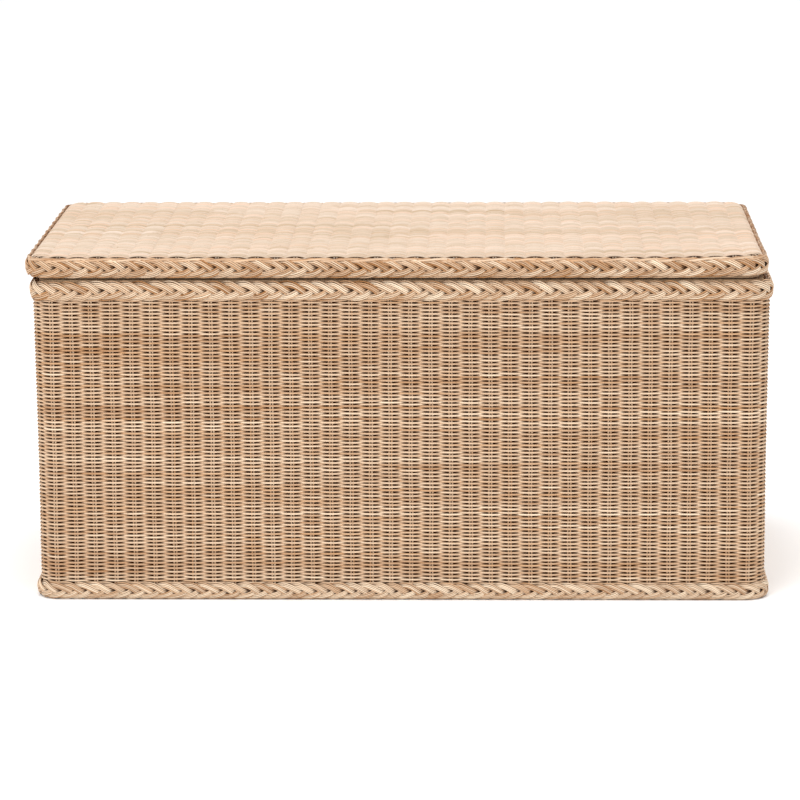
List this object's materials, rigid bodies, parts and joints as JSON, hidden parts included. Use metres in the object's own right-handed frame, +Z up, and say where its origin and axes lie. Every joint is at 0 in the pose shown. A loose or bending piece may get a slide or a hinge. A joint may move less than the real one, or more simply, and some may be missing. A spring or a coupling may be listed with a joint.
{
  "type": "wicker storage trunk",
  "caption": "Rectangular woven storage trunk on a wooden frame, with plaited borders at foot, rim and lid, and a woven lid that hinges at the back.",
  "frame": {"origin": "middle of the outline over everything, on the surface that the trunk stands on", "axes": "+X to the right end seen from the front, +Y to the back, +Z up"},
  "size_m": [1.0974, 0.556, 0.516],
  "materials": {
    "wall_weave": "split and round reeds, matt to satin, honey brown with darker bands",
    "lid_weave": "the same reeds seen in full light, pale straw, satin",
    "braid": "plaited reed borders, satin, honey brown with dark gaps",
    "frame_wood": "planed softwood, oiled",
    "base_board": "thin plywood, sanded",
    "hinge": "aged brass-plated steel",
    "screw": "zinc-plated steel"
  },
  "bodies": {
    "body": {"base_board": "base_board", "base_slat_left": "frame_wood", "base_slat_middle": "frame_wood", "base_slat_right": "frame_wood", "body_weave": "wall_weave", "bottom_rail_back": "frame_wood", "bottom_rail_front": "frame_wood", "bottom_rail_left": "frame_wood", "bottom_rail_right": "frame_wood", "corner_post_back_left": "frame_wood", "corner_post_back_right": "frame_wood", "corner_post_front_left": "frame_wood", "corner_post_front_right": "frame_wood", "foot_braid": "braid", "hinge_left_body_leaf": "hinge", "hinge_left_body_screw_1": "screw", "hinge_left_body_screw_2": "screw", "hinge_left_body_screw_3": "screw", "hinge_left_pin": "hinge", "hinge_right_body_leaf": "hinge", "hinge_right_body_screw_1": "screw", "hinge_right_body_screw_2": "screw", "hinge_right_body_screw_3": "screw", "hinge_right_pin": "hinge", "middle_post_back": "frame_wood", "middle_post_front": "frame_wood", "rim_braid": "braid", "top_rail_back": "frame_wood", "top_rail_front": "frame_wood", "top_rail_left": "frame_wood", "top_rail_right": "frame_wood"},
    "lid": {"hinge_left_lid_leaf": "hinge", "hinge_left_lid_screw_1": "screw", "hinge_left_lid_screw_2": "screw", "hinge_left_lid_screw_3": "screw", "hinge_right_lid_leaf": "hinge", "hinge_right_lid_screw_1": "screw", "hinge_right_lid_screw_2": "screw", "hinge_right_lid_screw_3": "screw", "lid_braid": "braid", "lid_rail_back": "frame_wood", "lid_rail_front": "frame_wood", "lid_rail_left": "frame_wood", "lid_rail_right": "frame_wood", "lid_slat_left": "frame_wood", "lid_slat_middle": "frame_wood", "lid_slat_right": "frame_wood", "lid_weave": "lid_weave"}
  },
  "joints": [
    {"name": "lid_hinge", "type": "hinge", "parent": "body", "child": "lid", "pos_m": [0, 0.2748, 0.481], "axis": [-1, 0, 0], "range_deg": [0, 100]}
  ]
}
